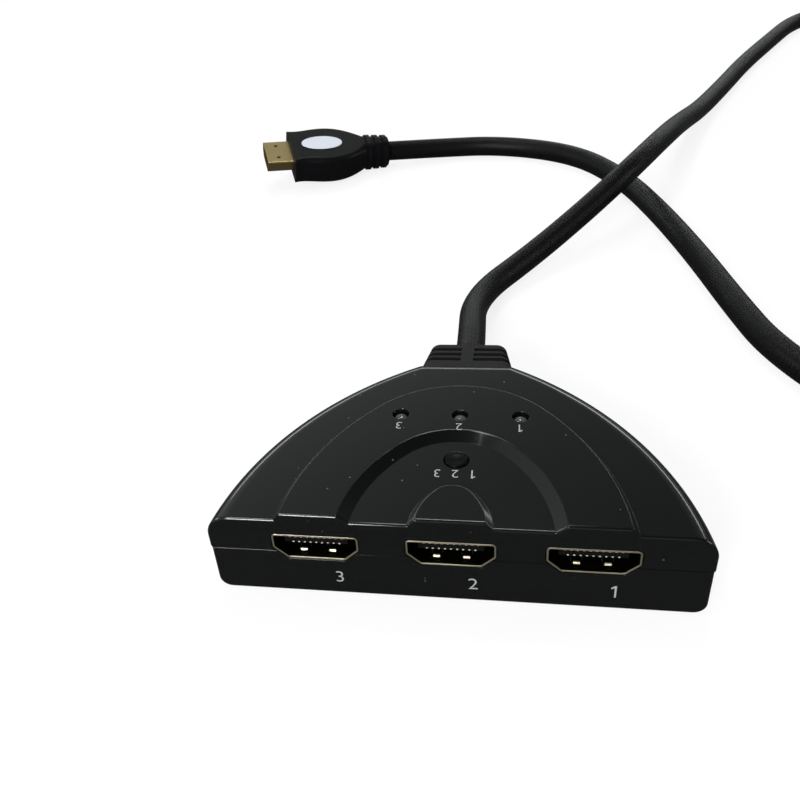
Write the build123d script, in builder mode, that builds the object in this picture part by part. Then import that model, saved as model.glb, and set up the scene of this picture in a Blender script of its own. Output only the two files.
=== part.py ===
from build123d import *
import math
import os

# HDMI switch box: three inputs at the front, one captive output lead at the back.
# Millimetres. X runs along the front face, Y from front to back, Z up from the table.
# The origin is on the table under the middle of the box with its strain relief.

os.makedirs("parts", exist_ok=True)

# Box
half_width = 41.6
body_depth = 49.4
back_half_width = 9.6
flank_radius = 67.2
base_level = 16.8
parting_height = 9.8
parting_gap = 0.2
wall = 1.8
upper_edge_radius = 4.2
lower_edge_radius = 2.2
rim_radius = 0.5
lower_inset = 0.2
lip_thickness = 0.8
lip_height = 1.2
lip_clearance = 0.1
overrun = 4.0

# Raised fields of the top: ring, well inside it and half disc at the front
step_height = 1.4
step_radius = 0.4
ring_half_width = 28.9
ring_depth = 38.4
ring_slope = 1.1
well_half_width = 17.6
well_depth = 23.1
well_slope = 1.9
disc_half_width = 6.4
disc_depth = 9.6
disc_slope = 1.3
arch_side_x_share = 0.906
arch_side_y_share = 0.345
arch_shoulder_x_share = 0.531
arch_shoulder_y_share = 0.82

# Strain relief
boot_length = 8.2
boot_front_width = 19.4
boot_front_height = 15.2
boot_back_width = 16.2
boot_back_height = 13.8
boot_corner = 2.2
boot_neck_width = 10.4
boot_neck_height = 10.4
boot_neck_corner = 1.5
boot_flange_width = 13.6
boot_flange_height = 11.8
boot_flange_thickness = 2.2
boot_seat = 1.4
groove_width = 1.2
groove_depth = 1.5
groove_count = 3
spine_width = 2.6

# Lead, with the points of its route measured from the middle of the front face
cord_diameter = 6.4
cord_fit = 0.05
run_share = 0.45
ferrule_wall = 0.5
ferrule_length = 1.8
wire_diameter = 0.75
wire_count = 6
wire_pitch_at_cord = 0.95
wire_pitch_at_board = 1.5
wire_straight = 1.0
wire_landing = 1.5
wire_lift = 0.05
wire_on_board = 3.8
plug_entry_x = -35.96
plug_entry_y = 197.64
plug_axis_height = 5.6
plug_heading = 201.1
plug_climb = 6.0
plug_lean = 10.8
cord_route = [
    (0, 43, 8),
    (0, 70, 8),
    (-1, 98, 3.2),
    (14.2, 119, 5),
    (29.1, 136, 10.5),
    (41, 149, 16.3),
    (54, 176, 16.3),
    (63.1, 205, 10),
    (73.3, 232, 4.6),
    (86.3, 262, 3.2),
    (98.8, 290, 3.2),
    (114.5, 320, 3.2),
    (131, 351, 3.2),
    (153.9, 367.1, 3.2),
    (181.9, 368.6, 3.2),
    (206.4, 355, 3.2),
    (218.2, 329.6, 3.2),
    (219, 298, 3.2),
    (215.5, 250, 3.2),
    (209, 192, 3.2),
    (196, 136, 3.2),
    (177.3, 88, 3.2),
    (155, 56.5, 3.2),
    (128.5, 42.4, 3.2),
    (101.5, 42.4, 3.2),
    (78.5, 54.6, 3.2),
    (66.5, 75.5, 3.2),
    (62, 95, 3.2),
    (57, 121, 3.2),
    (50.5, 148, 3.2),
    (42.5, 173.5, 3.2),
    (28.5, 196, 3.2),
    (3.5, 206.5, 3.2),
    (-20.651, 203.547, 3.875),
    (-35.96, 197.64, 5.6),
]

# Sockets
socket_pitch = 22.8
socket_count = 3
socket_width = 14.8
socket_height = 5.3
socket_wall = 0.3
socket_corner = 0.7
socket_bevel_width = 2.4
socket_bevel_height = 2.3
socket_bottom = 8.2
socket_depth = 11.5
socket_recess = 0.05
socket_clearance = 0.2
leg_width = 1.6
leg_below_board = 1.0
leg_first = 4.6
leg_spacing = 5.0
spring_spacing = 5.0
spring_width = 1.5
spring_length = 3.0
spring_slot = 0.3
spring_rise = 0.3
spring_start = 1.2
tongue_width = 10.9
tongue_thickness = 1.3
tongue_above_socket_bottom = 2.75
tongue_recess = 1.1
tongue_block_start = 6.8
tongue_block_gap = 0.05
contact_pitch = 1.0
contact_width = 0.3
contact_thickness = 0.25
contact_proud = 0.05
contact_setback = 0.0
contacts_above = 10
contacts_below = 9
contact_foot = 1.1

# Circuit board
board_thickness = 1.6
board_inset = 2.8
board_back_gap = 8.4
board_slot_clearance = 0.2

# Screws and posts
screw_side_gap = 10.8
screw_socket_gap = 0.5
screw_back_x = 13.5
screw_back_y = 36.5
screw_shank = 2.2
screw_head = 4.0
screw_head_height = 1.4
screw_head_recess = 0.5
screw_bury = 4.2
screw_drive_width = 0.5
screw_drive_length = 2.0
screw_drive_depth = 0.8
post_diameter = 5.8
screw_clearance = 0.25
pilot_clearance = 0.05
pilot_extra = 0.8

# Indicator lights
light_spacing = 11.0
light_y = 28.3
light_diameter = 2.9
light_hole_clearance = 0.15
light_flange = 3.7
light_flange_height = 0.9
light_length = 5.2
light_recess = 0.4
light_dome = 1.2
wire_leg = 0.45
wire_leg_spacing = 1.3
wire_leg_below_board = 1.2
wire_leg_clearance = 0.15

# Select button and the switch under it
button_y = 17.1
button_diameter = 4.2
button_clearance = 0.2
button_proud = 0.3
button_edge = 0.35
button_dish_radius = 9.0
button_dish_depth = 0.15
button_flange = 6.4
button_flange_height = 0.8
button_flange_gap = 0.15
plunger_diameter = 3.4
plunger_top = 12.5
plunger_flange = 4.4
plunger_flange_height = 0.6
switch_size = 6.2
switch_height = 3.3
switch_floor = 0.8
switch_bore = 4.9
cover_thickness = 0.2
cover_bore = 3.7
cover_nub = 0.9
cover_nub_height = 0.15
cover_nub_inset = 0.9
dome_diameter = 4.6
dome_rise = 0.4
dome_thickness = 0.12
press_clearance = 0.04
terminal_width = 0.7
terminal_pitch = 4.5

# Parts on the board
part_gap = 0.5
main_chip_side_gap = 23.1
main_chip_size = 10.0
main_chip_height = 1.2
main_lead_count = 16
main_chip_pitch = 0.5
control_chip_side_gap = 25.1
control_chip_length = 8.6
control_chip_width = 3.9
control_chip_height = 1.5
control_lead_count = 7
control_chip_pitch = 1.1
regulator_side_gap = 15.6
regulator_length = 6.5
regulator_width = 3.5
regulator_height = 1.6
regulator_lead_count = 3
regulator_pitch = 2.2
regulator_tab = 3.0
chip_standoff = 0.1
chip_edge = 0.15
lead_thickness = 0.15
lead_reach = 0.9
lead_knee = 0.4
lead_width_share = 0.5
resistor_length = 1.6
resistor_width = 0.8
resistor_height = 0.5
resistor_light_gap = 3.8
resistor_switch_gap = 2.0
resistor_pitch = 2.4
capacitor_length = 3.2
capacitor_width = 1.6
capacitor_height = 1.2
capacitor_edge = 0.1

# Plug
plug_width = 13.9
plug_height = 4.45
plug_wall = 0.3
plug_corner = 0.5
plug_bevel_width = 2.0
plug_bevel_height = 1.6
plug_exposed = 8.7
plug_buried = 6.5
insert_gap = 0.05
insert_recess = 1.0
insert_slot_width = 11.4
insert_slot_height = 1.9
insert_slot_depth = 7.0
insert_slot_lift = 0.35
detent_size = 1.1
detent_spacing = 7.4
detent_place = 4.0
tail_length = 8.5
tail_diameter = 9.6
tail_end_width = 11.8
tail_end_height = 9.4
tail_corner_share = 0.46
tail_rib_count = 3
tail_rib_thickness = 1.5
tail_rib_proud = 0.6
grip_length = 25.4
grip_neck_width = 17.5
grip_neck_height = 9.0
grip_neck_share = 0.2
grip_bulge_width = 22.3
grip_bulge_height = 9.4
grip_bulge_share = 0.55
grip_waist_width = 20.5
grip_waist_height = 9.1
grip_waist_share = 0.87
grip_mouth_width = 21.8
grip_mouth_height = 8.6
grip_corner_share = 0.22
badge_length = 14.0
badge_width = 8.4
badge_thickness = 0.8
badge_proud = 0.15
badge_gap = 0.05
badge_edge = 0.2
badge_place_share = 0.579

# Places worked out from the sizes above
front_y = -(body_depth + boot_length) / 2
back_y = front_y + body_depth
ring_level = base_level + step_height
ceiling_height = base_level - wall
upper_bottom = parting_height + parting_gap / 2
lower_top = parting_height - parting_gap / 2
board_top = socket_bottom
board_bottom = board_top - board_thickness
socket_middle = socket_bottom + socket_height / 2
lead_axis_height = cord_route[0][2]
socket_xs = [(number - 1) * socket_pitch for number in range(socket_count)]
post_front_y = front_y + socket_depth + contact_foot + screw_socket_gap + post_diameter / 2
screw_places = [(side * (half_width - screw_side_gap), post_front_y) for side in (-1, 1)]
screw_places += [(side * screw_back_x, front_y + screw_back_y) for side in (-1, 1)]
light_places = [(side * light_spacing, front_y + light_y) for side in (1, 0, -1)]
button_place = (0, front_y + button_y)
post_rear_y = post_front_y + post_diameter / 2
main_chip_place = (
    main_chip_side_gap - half_width,
    front_y + light_y - wire_leg / 2 - part_gap - lead_reach - main_chip_size / 2,
)
control_chip_place = (half_width - control_chip_side_gap, main_chip_place[1])
regulator_place = (
    half_width - regulator_side_gap,
    post_rear_y + part_gap + lead_reach + regulator_width / 2,
)
on_bottom = (Align.CENTER, Align.CENTER, Align.MIN)
on_top = (Align.CENTER, Align.CENTER, Align.MAX)

# The two arcs of the fan, each struck from a centre beyond the middle of the box
flank_chord = math.hypot(half_width - back_half_width, body_depth)
flank_apothem = math.sqrt(flank_radius**2 - (flank_chord / 2) ** 2)
flank_centre_x = (half_width + back_half_width) / 2 - flank_apothem * body_depth / flank_chord
flank_centre_y = front_y + body_depth / 2 - flank_apothem * (half_width - back_half_width) / flank_chord


def fan_face(height, inset, front):
    """The fan-shaped outline of the box at one height, drawn in all round but for its front."""
    with BuildSketch(Plane.XY.offset(height)) as fan:
        with Locations((flank_centre_x, flank_centre_y)):
            Circle(flank_radius - inset)
        with Locations((-flank_centre_x, flank_centre_y)):
            Circle(flank_radius - inset, mode=Mode.INTERSECT)
        with Locations((0, front)):
            Rectangle(
                2 * flank_radius,
                back_y - inset - front,
                align=(Align.CENTER, Align.MIN),
                mode=Mode.INTERSECT,
            )
    return fan.sketch


def arch_face(height, half, depth):
    """One of the arches of the top, with its flat side ahead of the front face."""
    side = (half * arch_side_x_share, front_y + depth * arch_side_y_share)
    shoulder = (half * arch_shoulder_x_share, front_y + depth * arch_shoulder_y_share)
    with BuildSketch(Plane.XY.offset(height)) as arch:
        with BuildLine():
            Polyline((-half, front_y), (-half, front_y - overrun), (half, front_y - overrun), (half, front_y))
            ThreePointArc((half, front_y), side, shoulder)
            ThreePointArc(shoulder, (0, front_y + depth), (-shoulder[0], shoulder[1]))
            ThreePointArc((-shoulder[0], shoulder[1]), (-side[0], side[1]), (-half, front_y))
        make_face()
    return arch.sketch


def arch_pair(half, depth, slope):
    """The two arches of a slope: wide at the base level, narrow on the raised level."""
    low = arch_face(base_level, half + slope / 2, depth + slope / 2)
    high = arch_face(ring_level, half - slope / 2, depth - slope / 2)
    return [low.face(), high.face()]


def connector_face(plane, width, height, bevel_width, bevel_height, corner, grow=0.0):
    """A connector's section: flat and wide above, bevelled at its lower corners."""
    half = width / 2
    top = height / 2
    with BuildSketch(plane) as section:
        with BuildLine():
            Polyline(
                (-half, top),
                (half, top),
                (half, bevel_height - top),
                (half - bevel_width, -top),
                (bevel_width - half, -top),
                (-half, bevel_height - top),
                close=True,
            )
        make_face()
        fillet(section.vertices(), corner)
        if grow:
            offset(amount=grow, mode=Mode.REPLACE)
    return section.sketch


def across(y, x=0.0, height=0.0):
    """A plane across the box at one depth, seen from the front."""
    return Plane(origin=(x, y, height), x_dir=(1, 0, 0), z_dir=(0, -1, 0))


def socket_face(x, depth, grow=0.0):
    """The section of one socket, at a depth behind the front face."""
    return connector_face(
        across(front_y + depth, x, socket_middle),
        socket_width,
        socket_height,
        socket_bevel_width,
        socket_bevel_height,
        socket_corner,
        grow,
    )


def front_rim(form):
    """The edges round a form's front face, but for the one along the parting line."""
    front = form.faces().filter_by(Axis.Y).sort_by(Axis.Y)[0]
    return front.edges().filter_by(lambda edge: abs(edge.center().Z - parting_height) > parting_gap)


# Outer forms of the two shells, before they are hollowed
with BuildPart() as upper_form:
    extrude(fan_face(parting_height, 0.0, front_y - overrun), amount=base_level - parting_height)
    crown = upper_form.edges().filter_by(Plane.XY).group_by(Axis.Z)[-1].sort_by(Axis.Y)[1:]
    fillet(crown, upper_edge_radius)
    loft(arch_pair(ring_half_width, ring_depth, ring_slope), ruled=True)
    loft(arch_pair(well_half_width, well_depth, -well_slope), ruled=True, mode=Mode.SUBTRACT)
    loft(arch_pair(disc_half_width, disc_depth, disc_slope), ruled=True)
    split(bisect_by=Plane.XZ.offset(-front_y), keep=Keep.BOTTOM)
    fillet(upper_form.edges().filter_by(GeomType.CIRCLE).group_by(Axis.Z)[-1], step_radius)
    fillet(front_rim(upper_form), rim_radius)

with BuildPart() as lower_form:
    extrude(fan_face(0.0, lower_inset, front_y - overrun), amount=parting_height)
    sole = lower_form.edges().filter_by(Plane.XY).group_by(Axis.Z)[0].sort_by(Axis.Y)[1:]
    fillet(sole, lower_edge_radius)
    split(bisect_by=Plane.XZ.offset(-front_y), keep=Keep.BOTTOM)
    fillet(front_rim(lower_form), rim_radius)

# Everything that passes through the front wall at the sockets
with BuildPart() as socket_openings:
    for x in socket_xs:
        extrude(socket_face(x, 0.0, socket_clearance), amount=socket_depth, both=True)

# Strain relief form: a tapered block, let into the back wall, with grooves round its sides
with BuildPart() as boot_form:
    with BuildSketch(across(back_y - boot_seat, 0.0, lead_axis_height)):
        RectangleRounded(boot_front_width, boot_front_height, boot_corner)
    with BuildSketch(across(back_y + boot_length, 0.0, lead_axis_height)):
        RectangleRounded(boot_back_width, boot_back_height, boot_corner)
    loft()

with BuildPart() as boot_core:
    with BuildSketch(across(back_y - boot_seat, 0.0, lead_axis_height)):
        RectangleRounded(boot_front_width - 2 * groove_depth, boot_front_height - 2 * groove_depth, boot_corner)
    with BuildSketch(across(back_y + boot_length, 0.0, lead_axis_height)):
        RectangleRounded(boot_back_width - 2 * groove_depth, boot_back_height - 2 * groove_depth, boot_corner)
    loft()
    with Locations((0, back_y + boot_length, lead_axis_height)):
        Box(spine_width, boot_length, boot_front_height, align=(Align.CENTER, Align.MAX, Align.CENTER))

with BuildPart() as boot_grooves:
    for number in range(groove_count):
        groove_y = back_y + boot_length * (number + 1) / (groove_count + 1)
        with Locations((0, groove_y, lead_axis_height)):
            Box(boot_front_width, groove_width, boot_front_height)
    add(boot_core.part, mode=Mode.SUBTRACT)

# Strain relief: one rubber moulding, with its neck through the back wall and a flange inside
flange_back = back_y - lower_inset - wall
with BuildPart() as strain_relief:
    add(boot_form.part)
    add(upper_form.part, mode=Mode.SUBTRACT)
    add(lower_form.part, mode=Mode.SUBTRACT)
    with BuildSketch(across(flange_back, 0.0, lead_axis_height)):
        RectangleRounded(boot_neck_width, boot_neck_height, boot_neck_corner)
    extrude(amount=-(back_y - flange_back + boot_length / (groove_count + 1) - groove_width / 2))
    with BuildSketch(across(flange_back, 0.0, lead_axis_height)):
        RectangleRounded(boot_flange_width, boot_flange_height, boot_neck_corner)
    extrude(amount=boot_flange_thickness)
    add(boot_grooves.part, mode=Mode.SUBTRACT)
    with BuildSketch(across(back_y + boot_length, 0.0, lead_axis_height)):
        Circle(cord_diameter / 2 + cord_fit)
    extrude(amount=back_y + boot_length - front_y, mode=Mode.SUBTRACT)
strain_relief.part.label = "strain_relief"
export_step(strain_relief.part, "parts/strain_relief.step")
flange_front = flange_back - boot_flange_thickness

with BuildPart() as neck_opening:
    with BuildSketch(across(back_y + overrun, 0.0, lead_axis_height)):
        RectangleRounded(boot_neck_width, boot_neck_height, boot_neck_corner)
    extrude(amount=back_y + overrun - flange_back + wall)

# Upper shell: gloss black, with posts down to the board and round holes in its top
light_hole = light_diameter / 2 + light_hole_clearance
pilot_depth = screw_bury + pilot_extra
with BuildPart() as upper_cavity:
    extrude(fan_face(parting_height, wall, front_y + wall), amount=ceiling_height - parting_height)
    vault = upper_cavity.edges().filter_by(Plane.XY).group_by(Axis.Z)[-1].sort_by(Axis.Y)[1:]
    fillet(vault, upper_edge_radius - wall)

with BuildPart() as upper_shell:
    add(upper_form.part)
    add(upper_cavity.part, mode=Mode.SUBTRACT)
    with Locations((0, 0, parting_height)):
        Box(2 * flank_radius, 2 * flank_radius, parting_gap, mode=Mode.SUBTRACT)
    with Locations([(x, y, board_top) for x, y in screw_places]):
        Cylinder(post_diameter / 2, ceiling_height - board_top, align=on_bottom)
        Cylinder(screw_shank / 2 + pilot_clearance, pilot_depth, align=on_bottom, mode=Mode.SUBTRACT)
    with Locations([(x, y, ring_level) for x, y in light_places]):
        Cylinder(light_hole, ring_level - ceiling_height, align=on_top, mode=Mode.SUBTRACT)
    with Locations((*button_place, ring_level)):
        Cylinder(
            button_diameter / 2 + button_clearance,
            ring_level - ceiling_height,
            align=on_top,
            mode=Mode.SUBTRACT,
        )
    add(socket_openings.part, mode=Mode.SUBTRACT)
    add(neck_opening.part, mode=Mode.SUBTRACT)
upper_shell.part.label = "upper_shell"
export_step(upper_shell.part, "parts/upper_shell.step")

# Lower shell: gloss black tray with a lip inside the seam and posts up to the board
with BuildPart() as lip:
    lip_inset = wall + lip_clearance
    extrude(fan_face(lower_top - lip_height, lip_inset, front_y + lip_inset), amount=2 * lip_height)
    extrude(
        fan_face(lower_top - lip_height, lip_inset + lip_thickness, front_y + lip_inset + lip_thickness),
        amount=2 * lip_height,
        mode=Mode.SUBTRACT,
    )
    with Locations([(x, y, board_bottom) for x, y in screw_places]):
        Cylinder(post_diameter / 2 + lip_clearance, ceiling_height, align=on_bottom, mode=Mode.SUBTRACT)
    with Locations((0, flange_back, lead_axis_height)):
        Box(
            boot_flange_width + 2 * lip_clearance,
            2 * boot_flange_thickness + 2 * lip_clearance,
            boot_flange_height,
            mode=Mode.SUBTRACT,
        )

with BuildPart() as lower_shell:
    add(lower_form.part)
    extrude(
        fan_face(wall, lower_inset + wall, front_y + lower_inset + wall),
        amount=parting_height - wall,
        mode=Mode.SUBTRACT,
    )
    with Locations((0, 0, parting_height)):
        Box(2 * flank_radius, 2 * flank_radius, parting_gap, mode=Mode.SUBTRACT)
    add(lip.part)
    with Locations([(x, y, wall) for x, y in screw_places]):
        Cylinder(post_diameter / 2, board_bottom - wall, align=on_bottom)
    with Locations([(x, y, 0) for x, y in screw_places]):
        Cylinder(screw_shank / 2 + screw_clearance, board_bottom, align=on_bottom, mode=Mode.SUBTRACT)
        Cylinder(
            screw_head / 2 + screw_clearance,
            screw_head_recess + screw_head_height,
            align=on_bottom,
            mode=Mode.SUBTRACT,
        )
    add(socket_openings.part, mode=Mode.SUBTRACT)
    add(neck_opening.part, mode=Mode.SUBTRACT)
lower_shell.part.label = "lower_shell"
export_step(lower_shell.part, "parts/lower_shell.step")

# Case screws: four, from below, through the board into the upper shell
with BuildPart() as case_screws:
    with Locations([(x, y, screw_head_recess) for x, y in screw_places]):
        Cylinder(screw_head / 2, screw_head_height, align=on_bottom)
        Cylinder(screw_shank / 2, board_top + screw_bury - screw_head_recess, align=on_bottom)
        Box(screw_drive_length, screw_drive_width, screw_drive_depth, align=on_bottom, mode=Mode.SUBTRACT)
        Box(screw_drive_width, screw_drive_length, screw_drive_depth, align=on_bottom, mode=Mode.SUBTRACT)
case_screws.part.label = "case_screws"
export_step(case_screws.part, "parts/case_screws.step")

# Where the socket legs and the wire legs of the lights pass the board
leg_x = socket_width / 2 - socket_wall / 2
leg_places = [
    (x + side * leg_x, front_y + leg_first + row * leg_spacing)
    for x in socket_xs
    for side in (-1, 1)
    for row in (0, 1)
]
wire_leg_places = [(x + side * wire_leg_spacing / 2, y) for x, y in light_places for side in (-1, 1)]

# Circuit board
with BuildPart() as circuit_board:
    extrude(fan_face(board_bottom, board_inset, front_y + board_inset), amount=board_thickness)
    with Locations((0, back_y - board_back_gap, board_bottom)):
        Box(
            2 * half_width,
            board_back_gap,
            board_thickness,
            align=(Align.CENTER, Align.MIN, Align.MIN),
            mode=Mode.SUBTRACT,
        )
    with Locations([(x, y, board_bottom) for x, y in screw_places]):
        Cylinder(screw_shank / 2 + screw_clearance, board_thickness, align=on_bottom, mode=Mode.SUBTRACT)
    with Locations([(x, y, board_bottom) for x, y in leg_places]):
        Box(
            socket_wall + 2 * board_slot_clearance,
            leg_width + 2 * board_slot_clearance,
            board_thickness,
            align=on_bottom,
            mode=Mode.SUBTRACT,
        )
    with Locations([(x, y, board_bottom) for x, y in wire_leg_places]):
        Cylinder(wire_leg / 2 + wire_leg_clearance, board_thickness, align=on_bottom, mode=Mode.SUBTRACT)
circuit_board.part.label = "circuit_board"
export_step(circuit_board.part, "parts/circuit_board.step")

# Sockets: stamped shell, insulator with its tongue, and nineteen contacts
tongue_bottom = socket_bottom + tongue_above_socket_bottom
tongue_top = tongue_bottom + tongue_thickness
block_back = socket_depth + tongue_block_gap


def contact_side(x, strip_bottom, strip_top):
    """Side view of one contact: a strip along the tongue, a leg behind it and a foot on the board."""
    front = front_y + tongue_recess + contact_setback
    back = front_y + block_back
    with BuildSketch(Plane.YZ.offset(x)) as side:
        with BuildLine():
            Polyline(
                (front, strip_bottom),
                (front, strip_top),
                (back + contact_thickness, strip_top),
                (back + contact_thickness, board_top + contact_thickness),
                (back + contact_foot, board_top + contact_thickness),
                (back + contact_foot, board_top),
                (back, board_top),
                (back, strip_bottom),
                close=True,
            )
        make_face()
    return side.sketch


for number, x in enumerate(socket_xs):
    name = f"socket_shell_{socket_count - number}"
    spring_places = [
        (x + side * spring_spacing / 2, front_y + spring_start + spring_length / 2, socket_bottom)
        for side in (-1, 1)
    ]
    own_legs = [(leg, y) for leg, y in leg_places if abs(leg - x) < socket_width]
    bump_radius = (socket_wall + spring_rise) / 2
    with BuildPart() as socket_shell:
        extrude(socket_face(x, socket_recess), amount=-(socket_depth - socket_recess))
        extrude(
            socket_face(x, socket_recess, -socket_wall),
            amount=-(socket_depth - socket_recess),
            mode=Mode.SUBTRACT,
        )
        with Locations([(leg, y, board_bottom - leg_below_board) for leg, y in own_legs]):
            Box(socket_wall, leg_width, socket_middle - board_bottom + leg_below_board, align=on_bottom)
        with Locations(spring_places):
            Box(
                spring_width + 2 * spring_slot,
                spring_length + 2 * spring_slot,
                socket_wall,
                align=on_bottom,
                mode=Mode.SUBTRACT,
            )
        with Locations([(sx, sy + spring_slot, sz) for sx, sy, sz in spring_places]):
            Box(spring_width, spring_length, socket_wall, align=on_bottom)
        with Locations([(sx, sy - spring_length / 4, sz + bump_radius) for sx, sy, sz in spring_places]):
            Cylinder(bump_radius, spring_width, rotation=(0, 90, 0))
    socket_shell.part.label = name
    export_step(socket_shell.part, f"parts/{name}.step")

    name = f"socket_contacts_{socket_count - number}"
    with BuildPart() as socket_contacts:
        for place in range(contacts_above):
            contact_x = x + (place - (contacts_above - 1) / 2) * contact_pitch
            strip_top = tongue_top + contact_proud
            extrude(
                contact_side(contact_x, strip_top - contact_thickness, strip_top),
                amount=contact_width / 2,
                both=True,
            )
        for place in range(contacts_below):
            contact_x = x + (place - (contacts_below - 1) / 2) * contact_pitch
            strip_bottom = tongue_bottom - contact_proud
            extrude(
                contact_side(contact_x, strip_bottom, strip_bottom + contact_thickness),
                amount=contact_width / 2,
                both=True,
            )
    socket_contacts.part.label = name
    export_step(socket_contacts.part, f"parts/{name}.step")

    name = f"socket_tongue_{socket_count - number}"
    with BuildPart() as socket_tongue:
        with Locations((x, front_y + tongue_recess, tongue_bottom)):
            Box(
                tongue_width,
                tongue_block_start - tongue_recess,
                tongue_thickness,
                align=(Align.CENTER, Align.MIN, Align.MIN),
            )
        extrude(
            socket_face(x, tongue_block_start, -socket_wall - tongue_block_gap),
            amount=-(block_back - tongue_block_start),
        )
        add(socket_contacts.part, mode=Mode.SUBTRACT)
    socket_tongue.part.label = name
    export_step(socket_tongue.part, f"parts/{name}.step")

# Indicator lights: clear, domed, with a flange under the top
light_top = ring_level - light_recess
light_bottom = light_top - light_length
for number, place in enumerate(light_places):
    name = f"led_{number + 1}"
    with BuildPart() as led:
        with Locations((*place, light_bottom)):
            Cylinder(light_diameter / 2, light_length, align=on_bottom)
            Cylinder(light_flange / 2, light_flange_height, align=on_bottom)
        fillet(led.edges().group_by(Axis.Z)[-1], light_dome)
    led.part.label = name
    export_step(led.part, f"parts/{name}.step")

with BuildPart() as led_leads:
    with Locations([(x, y, board_bottom - wire_leg_below_board) for x, y in wire_leg_places]):
        Cylinder(wire_leg / 2, light_bottom - board_bottom + wire_leg_below_board, align=on_bottom)
led_leads.part.label = "led_leads"
export_step(led_leads.part, "parts/led_leads.step")

# Select button: a dished cap with a flange that keeps it under the top
button_top = base_level + button_proud
flange_top = ceiling_height - button_flange_gap
with BuildPart() as select_button:
    with Locations((*button_place, plunger_top)):
        Cylinder(button_diameter / 2, button_top - plunger_top, align=on_bottom)
    fillet(select_button.edges().group_by(Axis.Z)[-1], button_edge)
    with Locations((*button_place, flange_top)):
        Cylinder(button_flange / 2, button_flange_height, align=on_top)
    with Locations((*button_place, button_top + button_dish_radius - button_dish_depth)):
        Sphere(button_dish_radius, mode=Mode.SUBTRACT)
select_button.part.label = "select_button"
export_step(select_button.part, "parts/select_button.step")

# Tact switch under the button
switch_cavity = board_top + switch_floor
switch_top = board_top + switch_height
with BuildPart() as switch_body:
    with Locations((*button_place, board_top)):
        Box(switch_size, switch_size, switch_height, align=on_bottom)
    with Locations((*button_place, switch_cavity)):
        Cylinder(switch_bore / 2, switch_height - switch_floor, align=on_bottom, mode=Mode.SUBTRACT)
switch_body.part.label = "switch_body"
export_step(switch_body.part, "parts/switch_body.step")

with BuildPart() as switch_cover:
    with Locations((*button_place, switch_top)):
        Box(switch_size, switch_size, cover_thickness, align=on_bottom)
        Cylinder(cover_bore / 2, cover_thickness, align=on_bottom, mode=Mode.SUBTRACT)
    with Locations((*button_place, switch_top + cover_thickness)):
        with GridLocations(switch_size - 2 * cover_nub_inset, switch_size - 2 * cover_nub_inset, 2, 2):
            Cylinder(cover_nub / 2, cover_nub_height, align=on_bottom)
switch_cover.part.label = "switch_cover"
export_step(switch_cover.part, "parts/switch_cover.step")

dome_radius = ((dome_diameter / 2) ** 2 + dome_rise**2) / (2 * dome_rise)
with BuildPart() as switch_dome:
    with Locations((*button_place, switch_cavity + dome_rise - dome_radius)):
        Sphere(dome_radius + dome_thickness)
        Sphere(dome_radius, mode=Mode.SUBTRACT)
    with Locations((*button_place, switch_cavity)):
        Cylinder(dome_diameter / 2, dome_rise + dome_thickness, align=on_bottom, mode=Mode.INTERSECT)
switch_dome.part.label = "switch_dome"
export_step(switch_dome.part, "parts/switch_dome.step")

plunger_bottom = switch_cavity + dome_rise + dome_thickness + press_clearance
with BuildPart() as switch_plunger:
    with Locations((*button_place, plunger_bottom)):
        Cylinder(plunger_diameter / 2, plunger_top - plunger_bottom, align=on_bottom)
    with Locations((*button_place, switch_top - press_clearance)):
        Cylinder(plunger_flange / 2, plunger_flange_height, align=on_top)
switch_plunger.part.label = "switch_plunger"
export_step(switch_plunger.part, "parts/switch_plunger.step")


def lead_side(height, width):
    """One bent lead beside a package: out, down to the board and out again."""
    with BuildPart() as lead:
        with BuildSketch(Plane.YZ):
            with BuildLine():
                Polyline(
                    (0, height - lead_thickness),
                    (0, height),
                    (lead_knee + lead_thickness, height),
                    (lead_knee + lead_thickness, lead_thickness),
                    (lead_reach, lead_thickness),
                    (lead_reach, 0),
                    (lead_knee, 0),
                    (lead_knee, height - lead_thickness),
                    close=True,
                )
            make_face()
        extrude(amount=width / 2, both=True)
    return lead.part


terminal = lead_side(switch_height / 2, terminal_width)
with BuildPart() as switch_terminals:
    for turn in (90, 270):
        with Locations(Location((*button_place, board_top), (0, 0, turn))):
            with GridLocations(terminal_pitch, switch_size, 2, 1):
                with Locations((0, switch_size / 2)):
                    add(terminal)
switch_terminals.part.label = "switch_terminals"
export_step(switch_terminals.part, "parts/switch_terminals.step")

# Signal switch chip, with leads on all four sides
with BuildPart() as switch_chip:
    with Locations((*main_chip_place, board_top + chip_standoff)):
        Box(main_chip_size, main_chip_size, main_chip_height, align=on_bottom)
    chamfer(switch_chip.edges().group_by(Axis.Z)[-1], chip_edge)
switch_chip.part.label = "switch_chip"
export_step(switch_chip.part, "parts/switch_chip.step")

main_lead = lead_side(chip_standoff + main_chip_height / 2, main_chip_pitch * lead_width_share)
with BuildPart() as switch_chip_leads:
    for turn in (0, 90, 180, 270):
        with Locations(Location((*main_chip_place, board_top), (0, 0, turn))):
            with GridLocations(main_chip_pitch, main_chip_size, main_lead_count, 1):
                with Locations((0, main_chip_size / 2)):
                    add(main_lead)
switch_chip_leads.part.label = "switch_chip_leads"
export_step(switch_chip_leads.part, "parts/switch_chip_leads.step")

# Control chip, with leads on its two long sides
with BuildPart() as control_chip:
    with Locations((*control_chip_place, board_top + chip_standoff)):
        Box(control_chip_length, control_chip_width, control_chip_height, align=on_bottom)
    chamfer(control_chip.edges().group_by(Axis.Z)[-1], chip_edge)
control_chip.part.label = "control_chip"
export_step(control_chip.part, "parts/control_chip.step")

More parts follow.
